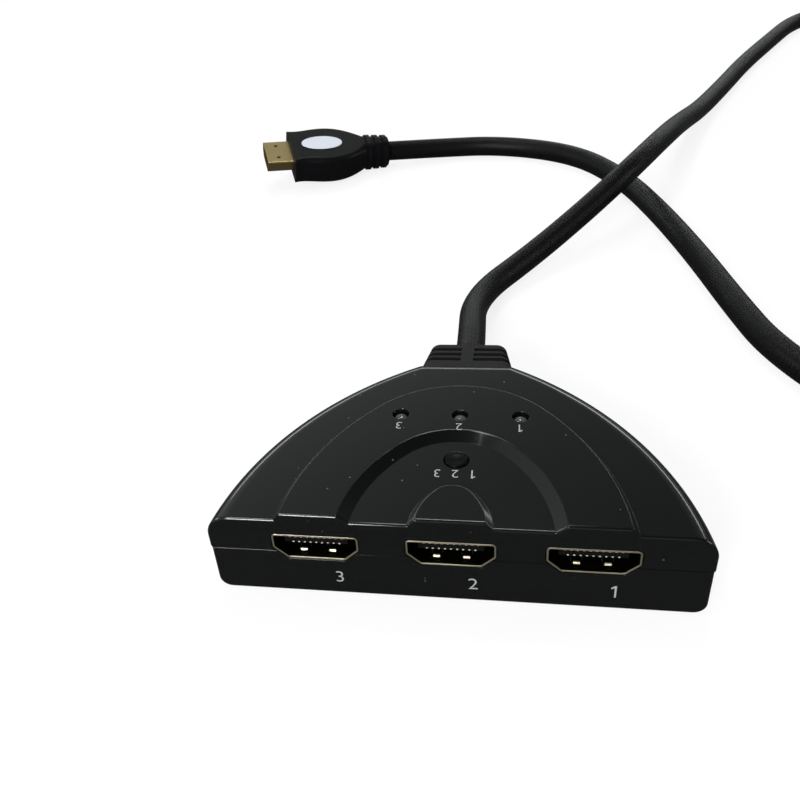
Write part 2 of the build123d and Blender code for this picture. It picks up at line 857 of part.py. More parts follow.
control_lead = lead_side(chip_standoff + control_chip_height / 2, control_chip_pitch * lead_width_share)
with BuildPart() as control_chip_leads:
    for turn in (0, 180):
        with Locations(Location((*control_chip_place, board_top), (0, 0, turn))):
            with GridLocations(control_chip_pitch, control_chip_width, control_lead_count, 1):
                with Locations((0, control_chip_width / 2)):
                    add(control_lead)
control_chip_leads.part.label = "control_chip_leads"
export_step(control_chip_leads.part, "parts/control_chip_leads.step")

# Voltage regulator, with three leads in front and a wide tab behind
with BuildPart() as regulator:
    with Locations((*regulator_place, board_top + chip_standoff)):
        Box(regulator_length, regulator_width, regulator_height, align=on_bottom)
    chamfer(regulator.edges().group_by(Axis.Z)[-1], chip_edge)
regulator.part.label = "regulator"
export_step(regulator.part, "parts/regulator.step")

regulator_lead = lead_side(chip_standoff + regulator_height / 2, regulator_pitch * lead_width_share / 2)
regulator_tab_lead = lead_side(chip_standoff + regulator_height / 2, regulator_tab)
with BuildPart() as regulator_leads:
    with Locations(Location((*regulator_place, board_top), (0, 0, 180))):
        with GridLocations(regulator_pitch, regulator_width, regulator_lead_count, 1):
            with Locations((0, regulator_width / 2)):
                add(regulator_lead)
    with Locations((regulator_place[0], regulator_place[1] + regulator_width / 2, board_top)):
        add(regulator_tab_lead)
regulator_leads.part.label = "regulator_leads"
export_step(regulator_leads.part, "parts/regulator_leads.step")

# Small parts on the board: resistors behind the lights and the switch, capacitors by their chips
resistor_row_y = button_place[1] + switch_size / 2 + resistor_switch_gap
resistor_places = [(x, y + resistor_light_gap) for x, y in light_places]
resistor_places += [(step * resistor_pitch, resistor_row_y) for step in (-1, 0, 1)]
with BuildPart() as resistors:
    with Locations([(x, y, board_top) for x, y in resistor_places]):
        Box(resistor_length, resistor_width, resistor_height, align=on_bottom)
resistors.part.label = "resistors"
export_step(resistors.part, "parts/resistors.step")

beside_chip = main_chip_place[0] - main_chip_size / 2 - lead_reach - part_gap - capacitor_length / 2
behind_post = post_rear_y + part_gap + capacitor_width / 2
behind_regulator = regulator_place[1] + regulator_width / 2 + lead_reach + part_gap + capacitor_width / 2
beside_post = screw_back_x - post_diameter / 2 - part_gap - capacitor_length / 2
capacitor_places = [
    (beside_chip, behind_post),
    (beside_chip, behind_post + capacitor_width + part_gap),
    (regulator_place[0], behind_regulator),
    (beside_post, front_y + screw_back_y),
    (-beside_post, front_y + screw_back_y),
]
with BuildPart() as capacitors:
    with Locations([(x, y, board_top) for x, y in capacitor_places]):
        Box(capacitor_length, capacitor_width, capacitor_height, align=on_bottom)
    fillet(capacitors.edges().filter_by(Axis.Z), capacitor_edge)
capacitors.part.label = "capacitors"
export_step(capacitors.part, "parts/capacitors.step")

# Lead: a sleeved cord, laid over itself once behind the box, then round and back to its plug
cord_points = [Vector(x, front_y + y, z) for x, y, z in cord_route]
cord_radii = []
for before, corner, after in zip(cord_points, cord_points[1:], cord_points[2:]):
    turn = math.radians((corner - before).get_angle(after - corner))
    shorter = min((corner - before).length, (after - corner).length)
    cord_radii.append(run_share * shorter / math.tan(turn / 2))
print("cord radii", [round(radius, 1) for radius in cord_radii])

with BuildPart() as cord:
    with BuildLine():
        cord_path = FilletPolyline(*cord_points, radius=cord_radii)
    with BuildSketch(across(cord_points[0].Y)):
        with Locations((cord_points[0].X, cord_points[0].Z)):
            Circle(cord_diameter / 2)
    sweep(path=cord_path)
cord.part.label = "cord"
export_step(cord.part, "parts/cord.step")
print("cord length", cord_path.length)
print("cord volume ratio", cord.part.volume / (math.pi * (cord_diameter / 2) ** 2 * cord_path.length))

# Crimped ferrule that keeps the lead behind the strain relief
with BuildPart() as cord_ferrule:
    with BuildSketch(across(flange_front, 0.0, lead_axis_height)):
        Circle(cord_diameter / 2 + cord_fit + ferrule_wall)
        Circle(cord_diameter / 2 + cord_fit, mode=Mode.SUBTRACT)
    extrude(amount=ferrule_length)
cord_ferrule.part.label = "cord_ferrule"
export_step(cord_ferrule.part, "parts/cord_ferrule.step")

# Conductors of the lead, fanned out and soldered to the back of the board
wire_height = board_top + wire_diameter / 2 + wire_lift
board_edge = back_y - board_back_gap
with BuildPart() as cord_wires:
    for number in range(wire_count):
        step = number - (wire_count - 1) / 2
        wire_start = cord_points[0].Y
        path_points = [
            (step * wire_pitch_at_cord, wire_start, wire_height),
            (step * wire_pitch_at_cord, wire_start - wire_straight, wire_height),
            (step * wire_pitch_at_board, board_edge - wire_landing, wire_height),
            (step * wire_pitch_at_board, board_edge - wire_on_board, wire_height),
        ]
        with BuildLine() as wire_line:
            FilletPolyline(*path_points, radius=wire_diameter)
        with BuildSketch(across(wire_start)):
            with Locations((step * wire_pitch_at_cord, wire_height)):
                Circle(wire_diameter / 2)
        sweep(path=wire_line.wires()[0])
cord_wires.part.label = "cord_wires"
export_step(cord_wires.part, "parts/cord_wires.step")

# Plug, drawn along its own axis from where the lead enters it. The stiff lead turns it a little
# over to the front and lifts its mouth.
plug_angle = math.radians(plug_heading)
climb_angle = math.radians(plug_climb)
lean_angle = math.radians(plug_lean)
level_reach = math.cos(climb_angle)
plug_axis = Vector(
    math.cos(plug_angle) * level_reach,
    math.sin(plug_angle) * level_reach,
    math.sin(climb_angle),
)
level_across = Vector(-math.sin(plug_angle), math.cos(plug_angle), 0)
level_up = plug_axis.cross(level_across)
plug_across = level_across * math.cos(lean_angle) - level_up * math.sin(lean_angle)
plug_up = plug_axis.cross(plug_across)
plug_entry = Vector(plug_entry_x, front_y + plug_entry_y, plug_axis_height)
grip_end = tail_length + grip_length


def plug_plane(along, rise=0.0):
    """A plane square to the plug's axis, at a distance from the lead's entry."""
    return Plane(
        origin=plug_entry + plug_axis * along + plug_up * rise,
        x_dir=plug_across,
        z_dir=plug_axis,
    )


def plug_face(along, grow=0.0):
    """The section of the plug's metal shell."""
    return connector_face(
        plug_plane(along),
        plug_width,
        plug_height,
        plug_bevel_width,
        plug_bevel_height,
        plug_corner,
        grow,
    )


def grip_face(along, width, height, corner_share=grip_corner_share):
    """A rounded section of the moulded grip."""
    with BuildSketch(plug_plane(along)) as section:
        RectangleRounded(width, height, height * corner_share)
    return section.sketch


def tail_face(along, width, height):
    """A nearly round section of the tail."""
    return grip_face(along, width, height, tail_corner_share)


badge_plane = Plane(
    origin=plug_plane(tail_length + grip_length * badge_place_share, grip_bulge_height / 2 + badge_proud).origin,
    x_dir=plug_axis,
    z_dir=plug_up,
)
plug_back = grip_end - plug_buried
plug_mouth = grip_end + plug_exposed

with BuildPart() as plug_overmold:
    loft([tail_face(0, tail_diameter, tail_diameter), tail_face(tail_length, tail_end_width, tail_end_height)])
    for number in range(tail_rib_count):
        along = tail_length * (number + 0.5) / tail_rib_count - tail_rib_thickness / 2
        reach = number / tail_rib_count
        extrude(
            tail_face(
                along,
                tail_diameter + (tail_end_width - tail_diameter) * reach + 2 * tail_rib_proud,
                tail_diameter + (tail_end_height - tail_diameter) * reach + 2 * tail_rib_proud,
            ),
            amount=tail_rib_thickness,
        )
    loft(
        [
            tail_face(tail_length, tail_end_width, tail_end_height),
            grip_face(tail_length + grip_length * grip_neck_share, grip_neck_width, grip_neck_height),
            grip_face(tail_length + grip_length * grip_bulge_share, grip_bulge_width, grip_bulge_height),
            grip_face(tail_length + grip_length * grip_waist_share, grip_waist_width, grip_waist_height),
            grip_face(grip_end, grip_mouth_width, grip_mouth_height),
        ]
    )
    extrude(plug_face(plug_back), amount=plug_buried, mode=Mode.SUBTRACT)
    with BuildSketch(badge_plane):
        Ellipse(badge_length / 2 + badge_gap, badge_width / 2 + badge_gap)
    extrude(amount=-badge_thickness, mode=Mode.SUBTRACT)
plug_overmold.part.label = "plug_overmold"
export_step(plug_overmold.part, "parts/plug_overmold.step")

with BuildPart() as plug_badge:
    with BuildSketch(badge_plane):
        Ellipse(badge_length / 2, badge_width / 2)
    extrude(amount=-badge_thickness)
    fillet(plug_badge.faces().sort_by(Axis.Z)[-1].edges(), badge_edge)
plug_badge.part.label = "plug_badge"
export_step(plug_badge.part, "parts/plug_badge.step")

# Metal shell of the plug, wide side up, with its two latch holes
with BuildPart() as plug_shell:
    extrude(plug_face(plug_back), amount=plug_mouth - plug_back)
    extrude(plug_face(plug_back, -plug_wall), amount=plug_mouth - plug_back, mode=Mode.SUBTRACT)
    with Locations(plug_plane(plug_mouth - detent_place, plug_height / 2)):
        with Locations((detent_spacing / 2, 0), (-detent_spacing / 2, 0)):
            Box(detent_size, plug_height, detent_size, mode=Mode.SUBTRACT)
plug_shell.part.label = "plug_shell"
export_step(plug_shell.part, "parts/plug_shell.step")

# Insulator in the plug, with the slot that takes a socket's tongue
insert_mouth = plug_mouth - insert_recess
slot_back = insert_mouth - insert_slot_depth


def plug_strip(place, count, side):
    """One contact in the slot, half sunk in the slot's upper or lower face."""
    across_slot = (place - (count - 1) / 2) * contact_pitch
    up_slot = insert_slot_lift + side * (insert_slot_height / 2 + contact_thickness / 2 - contact_proud)
    return plug_plane(slot_back) * Location((across_slot, up_slot, 0))


with BuildPart() as plug_contacts:
    with Locations([plug_strip(place, contacts_above, 1) for place in range(contacts_above)]):
        Box(contact_width, contact_thickness, insert_slot_depth - contact_setback, align=on_bottom)
    with Locations([plug_strip(place, contacts_below, -1) for place in range(contacts_below)]):
        Box(contact_width, contact_thickness, insert_slot_depth - contact_setback, align=on_bottom)
plug_contacts.part.label = "plug_contacts"
export_step(plug_contacts.part, "parts/plug_contacts.step")

with BuildPart() as plug_insulator:
    extrude(plug_face(plug_back, -plug_wall - insert_gap), amount=insert_mouth - plug_back)
    with Locations(plug_plane(insert_mouth, insert_slot_lift)):
        Box(insert_slot_width, insert_slot_height, insert_slot_depth, align=on_top, mode=Mode.SUBTRACT)
    add(plug_contacts.part, mode=Mode.SUBTRACT)
plug_insulator.part.label = "plug_insulator"
export_step(plug_insulator.part, "parts/plug_insulator.step")
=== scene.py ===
import math

import bmesh
import bpy
from mathutils import Matrix, Vector


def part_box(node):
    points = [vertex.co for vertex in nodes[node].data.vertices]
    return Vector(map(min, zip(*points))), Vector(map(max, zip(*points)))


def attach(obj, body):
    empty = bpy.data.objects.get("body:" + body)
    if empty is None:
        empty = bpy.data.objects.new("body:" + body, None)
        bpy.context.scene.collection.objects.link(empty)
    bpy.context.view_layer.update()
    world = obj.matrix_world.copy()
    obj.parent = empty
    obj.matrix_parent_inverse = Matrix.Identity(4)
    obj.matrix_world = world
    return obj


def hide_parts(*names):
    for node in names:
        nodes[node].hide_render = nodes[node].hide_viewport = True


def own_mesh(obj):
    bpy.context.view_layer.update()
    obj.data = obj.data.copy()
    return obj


# The box as it was packed: every piece below is dressed in its place.
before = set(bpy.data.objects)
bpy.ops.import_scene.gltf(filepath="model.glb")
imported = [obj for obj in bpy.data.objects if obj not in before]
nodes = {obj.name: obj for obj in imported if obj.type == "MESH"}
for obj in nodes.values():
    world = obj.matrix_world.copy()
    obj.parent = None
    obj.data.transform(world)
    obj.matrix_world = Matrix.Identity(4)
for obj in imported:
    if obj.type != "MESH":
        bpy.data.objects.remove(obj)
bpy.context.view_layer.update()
scene = bpy.context.scene
scene.view_settings.view_transform = "Standard"
MM = 0.001

# Camera. The photograph looks down on the box from the front, a little from the left, close by
# and through a fairly wide lens. Its angles and place were fitted to the standard-size sockets.
PHOTO_SIDE = 800
FOCAL_PIXELS = 891.03
AXIS_PIXEL_X, AXIS_PIXEL_Y = 352.03, 401.35
CAMERA_YAW, CAMERA_PITCH, CAMERA_ROLL = 0.22175, -0.62261, 0.11028
CAMERA_X, CAMERA_BEFORE_FACE, CAMERA_HEIGHT = 9.7257 * MM, 103.7415 * MM, 118.059 * MM
SENSOR = 36.0
NEAREST_SEEN = 0.01

front_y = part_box("upper_shell")[0][1]
camera_aim = Matrix.Rotation(CAMERA_YAW, 3, "Z") @ Matrix.Rotation(CAMERA_PITCH, 3, "X")
camera_turn = camera_aim @ Matrix.Rotation(CAMERA_ROLL, 3, "Y")
right, forward, up = camera_turn.col[0], camera_turn.col[1], camera_turn.col[2]
lens = bpy.data.cameras.new("photo_lens")
lens.sensor_width = SENSOR
lens.lens = FOCAL_PIXELS / PHOTO_SIDE * SENSOR
lens.shift_x = (PHOTO_SIDE / 2 - AXIS_PIXEL_X) / PHOTO_SIDE
lens.shift_y = (AXIS_PIXEL_Y - PHOTO_SIDE / 2) / PHOTO_SIDE
lens.clip_start = NEAREST_SEEN
camera = bpy.data.objects.new("photo_camera", lens)
scene.collection.objects.link(camera)
camera_place = Matrix.Translation(Vector((CAMERA_X, front_y - CAMERA_BEFORE_FACE, CAMERA_HEIGHT)))
camera.matrix_world = camera_place @ Matrix((right, up, -forward)).transposed().to_4x4()
scene.camera = camera

# Lead. A round cable in a braided black sleeve of fine monofilament, moulded into the plug at one
# end and held by the strain relief at the other. It runs back, over itself, round and to its plug.
CORD_DIAMETER = 6.4 * MM
CORD_RING = 0.56 * MM
BRAID_CELLS_ROUND = 26
BRAID_RELIEF = 0.06 * MM
ROUTE_STEPS = 24
SHORTEST_RUN = 1e-9
CORD_ROUTE = [
    (0, 43, 8),
    (0, 70, 8),
    (-1, 98, 3.2),
    (14.2, 119, 5),
    (29.1, 136, 10.5),
    (41, 149, 16.3),
    (54, 176, 16.3),
    (63.1, 205, 10),
    (73.3, 232, 4.6),
    (86.3, 262, 3.2),
    (98.8, 290, 3.2),
    (114.5, 320, 3.2),
    (131, 351, 3.2),
    (153.9, 367.1, 3.2),
    (181.9, 368.6, 3.2),
    (206.4, 355, 3.2),
    (218.2, 329.6, 3.2),
    (219, 298, 3.2),
    (215.5, 250, 3.2),
    (209, 192, 3.2),
    (196, 136, 3.2),
    (177.3, 88, 3.2),
    (155, 56.5, 3.2),
    (128.5, 42.4, 3.2),
    (101.5, 42.4, 3.2),
    (78.5, 54.6, 3.2),
    (66.5, 75.5, 3.2),
    (62, 95, 3.2),
    (57, 121, 3.2),
    (50.5, 148, 3.2),
    (42.5, 173.5, 3.2),
    (28.5, 196, 3.2),
    (3.5, 206.5, 3.2),
    (-20.651, 203.547, 3.875),
    (-35.96, 197.64, 5.6),
]


def finished_mesh(holder):
    """The mesh that an object gives with its modifiers applied; the object itself goes."""
    bpy.context.view_layer.update()
    mesh = bpy.data.meshes.new_from_object(holder.evaluated_get(bpy.context.evaluated_depsgraph_get()))
    bpy.data.objects.remove(holder)
    return mesh


def plain_mesh(name, data):
    """The mesh that a curve or a text gives."""
    holder = bpy.data.objects.new(name, data)
    scene.collection.objects.link(holder)
    return finished_mesh(holder)


def route_line(points):
    """The smooth line of the lead, read from a NURBS spline with those control points."""
    curve = bpy.data.curves.new("lead_line", "CURVE")
    curve.dimensions = "3D"
    curve.resolution_u = ROUTE_STEPS
    spline = curve.splines.new("NURBS")
    spline.points.add(len(points) - 1)
    for control, (x, y, z) in zip(spline.points, points):
        control.co = (x * MM, front_y + y * MM, z * MM, 1)
    spline.order_u = 3
    spline.use_endpoint_u = True
    return [vertex.co.copy() for vertex in plain_mesh("lead_line", curve).vertices]


def evenly(points, spacing):
    """The same line with its points at even distances, and its length."""
    lengths = [0.0]
    for a, b in zip(points, points[1:]):
        lengths.append(lengths[-1] + (b - a).length)
    count = max(2, round(lengths[-1] / spacing))
    even = []
    run = 0
    for step in range(count + 1):
        at = lengths[-1] * step / count
        while run < len(lengths) - 2 and lengths[run + 1] < at:
            run += 1
        share = (at - lengths[run]) / max(lengths[run + 1] - lengths[run], SHORTEST_RUN)
        even.append(points[run].lerp(points[run + 1], min(share, 1.0)))
    return even, lengths[-1]


def new_group(name, kind, inputs, outputs):
    """An empty node group with its named inputs, some with a value of their own, and outputs."""
    group = bpy.data.node_groups.new(name, kind)
    for label, socket, *value in inputs:
        made = group.interface.new_socket(label, in_out="INPUT", socket_type=socket)
        if value:
            made.default_value = value[0]
    for label, socket in outputs:
        group.interface.new_socket(label, in_out="OUTPUT", socket_type=socket)
    return group, group.nodes.new("NodeGroupInput"), group.nodes.new("NodeGroupOutput")


def add_node(tree, kind, settings=None, **inputs):
    """A node with its settings and its inputs, each a value or a link; _2 is the third input."""
    node = tree.nodes.new(kind)
    for key, value in (settings or {}).items():
        setattr(node, key, value)
    for key, value in inputs.items():
        slot = node.inputs[int(key[1:])] if key[0] == "_" else node.inputs[key.replace("_", " ")]
        if isinstance(value, bpy.types.NodeSocket):
            tree.links.new(value, slot)
        else:
            slot.default_value = value
    return node


def maths(tree, operation, first, second=0.0, third=0.0):
    """The result of one Math node."""
    node = add_node(tree, "ShaderNodeMath", {"operation": operation}, _0=first, _1=second, _2=third)
    return node.outputs[0]


# The sleeve follows the line: a circle swept along it, with every second crossing of the braid
# a little proud, and the distance along and round it kept for the finer strands.
tube, tube_in, tube_out = new_group(
    "braided_tube",
    "GeometryNodeTree",
    [
        ("Geometry", "NodeSocketGeometry"),
        ("Radius", "NodeSocketFloat"),
        ("Sides", "NodeSocketInt"),
        ("Relief", "NodeSocketFloat"),
        ("Finish", "NodeSocketMaterial"),
    ],
    [("Geometry", "NodeSocketGeometry")],
)
route = add_node(tube, "GeometryNodeMeshToCurve", Mesh=tube_in.outputs["Geometry"])
line = add_node(
    tube, "GeometryNodeSetCurveNormal", {"mode": "MINIMUM_TWIST"}, Curve=route.outputs["Curve"]
)
on_spline = add_node(tube, "GeometryNodeSplineParameter")
along = add_node(tube, "GeometryNodeCaptureAttribute", {"domain": "POINT"})
along.capture_items.new("FLOAT", "Length")
along.capture_items.new("INT", "Step")
tube.links.new(line.outputs["Curve"], along.inputs["Geometry"])
tube.links.new(on_spline.outputs["Length"], along.inputs["Length"])
tube.links.new(on_spline.outputs["Index"], along.inputs["Step"])
ring = add_node(
    tube,
    "GeometryNodeCurvePrimitiveCircle",
    {"mode": "RADIUS"},
    Resolution=tube_in.outputs["Sides"],
    Radius=tube_in.outputs["Radius"],
)
around = add_node(tube, "GeometryNodeCaptureAttribute", {"domain": "POINT"})
around.capture_items.new("FLOAT", "Share")
around.capture_items.new("INT", "Step")
tube.links.new(ring.outputs["Curve"], around.inputs["Geometry"])
ring_share = maths(tube, "DIVIDE", on_spline.outputs["Index"], tube_in.outputs["Sides"])
tube.links.new(ring_share, around.inputs["Share"])
tube.links.new(on_spline.outputs["Index"], around.inputs["Step"])
swept = add_node(
    tube,
    "GeometryNodeCurveToMesh",
    Curve=along.outputs["Geometry"],
    Profile_Curve=around.outputs["Geometry"],
    Fill_Caps=True,
)
crossing = maths(tube, "ADD", along.outputs["Step"], around.outputs["Step"])
proud = maths(tube, "MULTIPLY", maths(tube, "MODULO", crossing, 2.0), tube_in.outputs["Relief"])
outward = add_node(
    tube,
    "ShaderNodeVectorMath",
    {"operation": "SCALE"},
    _0=add_node(tube, "GeometryNodeInputNormal").outputs["Normal"],
    Scale=proud,
)
moved = add_node(
    tube, "GeometryNodeSetPosition", Geometry=swept.outputs["Mesh"], Offset=outward.outputs["Vector"]
)
place_on_sleeve = add_node(
    tube, "ShaderNodeCombineXYZ", X=along.outputs["Length"], Y=around.outputs["Share"]
)
mapped = add_node(
    tube,
    "GeometryNodeStoreNamedAttribute",
    {"data_type": "FLOAT2", "domain": "CORNER"},
    Geometry=moved.outputs["Geometry"],
    Name="UVMap",
    Value=place_on_sleeve.outputs["Vector"],
)
soft = add_node(tube, "GeometryNodeSetShadeSmooth", Geometry=mapped.outputs["Geometry"])
whole = add_node(tube, "GeometryNodeRealizeInstances", Geometry=soft.outputs["Geometry"])
sleeved = add_node(
    tube,
    "GeometryNodeSetMaterial",
    Geometry=whole.outputs["Geometry"],
    Material=tube_in.outputs["Finish"],
)
tube.links.new(sleeved.outputs["Geometry"], tube_out.inputs["Geometry"])


def grown_piece(name, start, tree, values):
    """The plain mesh piece that a geometry node tree makes of a starting mesh."""
    holder = bpy.data.objects.new(name, start)
    scene.collection.objects.link(holder)
    maker = holder.modifiers.new("maker", "NODES")
    maker.node_group = tree
    for socket in tree.interface.items_tree:
        if socket.in_out == "INPUT" and socket.name in values:
            maker[socket.identifier] = values[socket.name]
    made = finished_mesh(holder)
    made.name = name
    piece = bpy.data.objects.new(name, made)
    scene.collection.objects.link(piece)
    return piece


def material(name, color, roughness, metallic=0.0):
    """A Principled material, with its uniform values on the shader's own sockets."""
    made = bpy.data.materials.new(name)
    made.use_nodes = True
    shader = made.node_tree.nodes["Principled BSDF"]
    shader.inputs["Base Color"].default_value = (*color, 1)
    shader.inputs["Roughness"].default_value = roughness
    shader.inputs["Metallic"].default_value = metallic
    return made, shader


def mixed_color(tree, share, first, second):
    """Two colours mixed by a share that changes over the surface."""
    ends = {"_6": (*first, 1), "_7": (*second, 1)}
    return add_node(tree, "ShaderNodeMix", {"data_type": "RGBA"}, _0=share, **ends).outputs[2]


# The braid: two sets of flat strands cross on the bias, each over and under the other.
STRAND_CROWN = 0.6
braid, braid_in, braid_out = new_group(
    "braid",
    "ShaderNodeTree",
    [
        ("Along", "NodeSocketFloat", 0.0),
        ("Round", "NodeSocketFloat", 0.0),
        ("Cell", "NodeSocketFloat", 2 * CORD_RING),
        ("Cells Round", "NodeSocketFloat", BRAID_CELLS_ROUND),
    ],
    [("Height", "NodeSocketFloat"), ("Gap", "NodeSocketFloat")],
)
steps = maths(braid, "DIVIDE", braid_in.outputs["Along"], braid_in.outputs["Cell"])
turns = maths(braid, "MULTIPLY", braid_in.outputs["Round"], braid_in.outputs["Cells Round"])
rising = maths(braid, "ADD", steps, turns)
falling = maths(braid, "SUBTRACT", steps, turns)
rising_wave = maths(braid, "SINE", maths(braid, "MULTIPLY", rising, math.pi))
falling_wave = maths(braid, "SINE", maths(braid, "MULTIPLY", falling, math.pi))
rising_strand = maths(braid, "POWER", maths(braid, "ABSOLUTE", rising_wave), STRAND_CROWN)
falling_strand = maths(braid, "POWER", maths(braid, "ABSOLUTE", falling_wave), STRAND_CROWN)
over = maths(braid, "GREATER_THAN", maths(braid, "MULTIPLY", rising_wave, falling_wave), 0.0)
high = maths(braid, "MULTIPLY", over, rising_strand)
low = maths(braid, "MULTIPLY", maths(braid, "SUBTRACT", 1.0, over), falling_strand)
strand_height = maths(braid, "ADD", high, low)
braid.links.new(strand_height, braid_out.inputs["Height"])
braid.links.new(maths(braid, "SUBTRACT", 1.0, strand_height), braid_out.inputs["Gap"])

SLEEVE_COLOR = (0.0005, 0.0005, 0.0005)
SLEEVE_PAINTED_GLINT = (0.0035, 0.0035, 0.0038)
SLEEVE_SPECULAR = 0.09
SLEEVE_ROUGHNESS, GAP_ROUGHNESS = 0.2, 0.35
FINE_STRANDS = 4
STRAND_BUMP, STRAND_DEPTH = 0.5, 0.1 * MM
FINE_BUMP, FINE_DEPTH = 0.4, 0.03 * MM
sleeve, sleeve_shader = material("braided_sleeve", SLEEVE_COLOR, SLEEVE_ROUGHNESS)
sleeve_shader.inputs["Specular IOR Level"].default_value = SLEEVE_SPECULAR
sleeve_nodes = sleeve.node_tree
on_sleeve = add_node(
    sleeve_nodes, "ShaderNodeSeparateXYZ", _0=add_node(sleeve_nodes, "ShaderNodeUVMap").outputs["UV"]
)
weave = add_node(
    sleeve_nodes,
    "ShaderNodeGroup",
    {"node_tree": braid},
    Along=on_sleeve.outputs["X"],
    Round=on_sleeve.outputs["Y"],
)
strands = add_node(
    sleeve_nodes,
    "ShaderNodeGroup",
    {"node_tree": braid},
    Along=maths(sleeve_nodes, "MULTIPLY", on_sleeve.outputs["X"], FINE_STRANDS),
    Round=maths(sleeve_nodes, "MULTIPLY", on_sleeve.outputs["Y"], FINE_STRANDS),
)
# Painted highlight and shade: the base colour is lighter on the crowns of the strands, as a painted
# glint, and darker in the gaps between them, as painted shade.
sleeve_painted_glint = mixed_color(sleeve_nodes, weave.outputs["Height"], SLEEVE_COLOR, SLEEVE_PAINTED_GLINT)
sleeve_nodes.links.new(sleeve_painted_glint, sleeve_shader.inputs["Base Color"])
sleeve_sheen = maths(sleeve_nodes, "MULTIPLY_ADD", weave.outputs["Gap"], GAP_ROUGHNESS, SLEEVE_ROUGHNESS)
sleeve_nodes.links.new(sleeve_sheen, sleeve_shader.inputs["Roughness"])
coarse = add_node(
    sleeve_nodes,
    "ShaderNodeBump",
    Height=weave.outputs["Height"],
    Strength=STRAND_BUMP,
    Distance=STRAND_DEPTH,
)
fine = add_node(
    sleeve_nodes,
    "ShaderNodeBump",
    Height=strands.outputs["Height"],
    Strength=FINE_BUMP,
    Distance=FINE_DEPTH,
    Normal=coarse.outputs["Normal"],
)
sleeve_nodes.links.new(fine.outputs["Normal"], sleeve_shader.inputs["Normal"])

cord_path, cord_length = evenly(route_line(CORD_ROUTE), CORD_RING)
lead_points = bpy.data.meshes.new("lead_points")
lead_points.from_pydata(
    [tuple(point) for point in cord_path], [(n, n + 1) for n in range(len(cord_path) - 1)], []
)
lead = grown_piece(
    "braided_lead",
    lead_points,
    tube,
    {
        "Radius": CORD_DIAMETER / 2 - BRAID_RELIEF / 2,
        "Sides": 2 * BRAID_CELLS_ROUND,
        "Relief": BRAID_RELIEF,
        "Finish": sleeve,
    },
)
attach(lead, "housing")
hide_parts("cord")

# Shells. The two halves of the box are moulded in black ABS with a high gloss and narrow rounded
# edges. Handling has left a few specks of dust on them and a slow change of sheen.
SHELL_COLOR = (0.0026, 0.003, 0.0028)
EDGE_ROUNDING = 0.15 * MM
SMOOTH_ANGLE = 32
FLAT_ANGLE = 0.1
MERGE_WITHIN = 1e-6
SLIVER_EDGE = 1e-7


def flat_areas(shape):
    """For each triangle, the area of the whole flat face that it is part of."""
    flat_cosine = math.cos(math.radians(FLAT_ANGLE))
    areas = {}
    for first in shape.faces:
        if first.index in areas:
            continue
        areas[first.index] = 0.0
        region, waiting, total = [first.index], [first], 0.0
        while waiting:
            face = waiting.pop()
            total += face.calc_area()
            for edge in face.edges:
                for other in edge.link_faces:
                    if other.index not in areas and other.normal.dot(face.normal) > flat_cosine:
                        areas[other.index] = 0.0
                        region.append(other.index)
                        waiting.append(other)
        areas.update(dict.fromkeys(region, total))
    return areas


def even_normals(shape):
    """Corner normals that keep flat faces flat and turn only over the narrow faces between them."""
    shape.faces.index_update()
    areas = flat_areas(shape)
    cosine = math.cos(math.radians(SMOOTH_ANGLE))
    pulls = {}
    for face in shape.faces:
        for corner in face.loops:
            pull = face.normal * (corner.calc_angle() * areas[face.index])
            pulls.setdefault(corner.vert, []).append((face.normal, pull))
    normals = []
    for face in shape.faces:
        for corner in face.loops:
            total = Vector()
            for normal, pull in pulls[corner.vert]:
                if normal.dot(face.normal) > cosine:
                    total += pull
            normals.append(total.normalized())
    return normals


def smooth_copy(node, name):
    """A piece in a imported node's place, its triangles joined and its round stretches smooth."""
    mesh = nodes[node].data.copy()
    mesh.name = name
    mesh.materials.clear()
    shape = bmesh.new()
    shape.from_mesh(mesh)
    bmesh.ops.remove_doubles(shape, verts=shape.verts, dist=MERGE_WITHIN)
    bmesh.ops.dissolve_degenerate(shape, edges=shape.edges, dist=SLIVER_EDGE)
    shape.normal_update()
    for face in shape.faces:
        face.smooth = True
    normals = even_normals(shape)
    shape.to_mesh(mesh)
    shape.free()
    mesh.normals_split_custom_set(normals)
    piece = bpy.data.objects.new(name, mesh)
    scene.collection.objects.link(piece)
    return piece


def dress(node, name, finish, body="housing"):
    """Stands a smooth copy in for a node, in its own finish."""
    piece = smooth_copy(node, name)
    piece.data.materials.append(finish)
    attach(piece, body)
    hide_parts(node)
    return piece


# Wear shared by the moulded pieces: fine specks of dust, a slow change of sheen and a fine grain.
SPECK_SCALE, SPECK_RADIUS = 900.0, 0.16
SHEEN_SCALE, SHEEN_DETAIL = 35.0, 3.0
GRAIN_DETAIL, GRAIN_BUMP = 2.0, 0.5
DUST_ROUGHNESS = 0.4
BEVEL_SAMPLES = 4
wear, wear_in, wear_out = new_group(
    "handled_surface",
    "ShaderNodeTree",
    [
        ("Speck Size", "NodeSocketFloat", SPECK_SCALE),
        ("Specks", "NodeSocketFloat"),
        ("Sheen Size", "NodeSocketFloat", SHEEN_SCALE),
    ],
    [("Dust", "NodeSocketFloat"), ("Sheen", "NodeSocketFloat"), ("Grain", "NodeSocketFloat")],
)
on_piece = add_node(wear, "ShaderNodeTexCoord").outputs["Object"]
speck_cells = add_node(
    wear,
    "ShaderNodeTexVoronoi",
    {"feature": "F1"},
    Vector=on_piece,
    Scale=wear_in.outputs["Speck Size"],
)
sheen = add_node(
    wear, "ShaderNodeTexNoise", Vector=on_piece, Scale=wear_in.outputs["Sheen Size"], Detail=SHEEN_DETAIL
)
grain = add_node(
    wear, "ShaderNodeTexNoise", Vector=on_piece, Scale=wear_in.outputs["Speck Size"], Detail=GRAIN_DETAIL
)
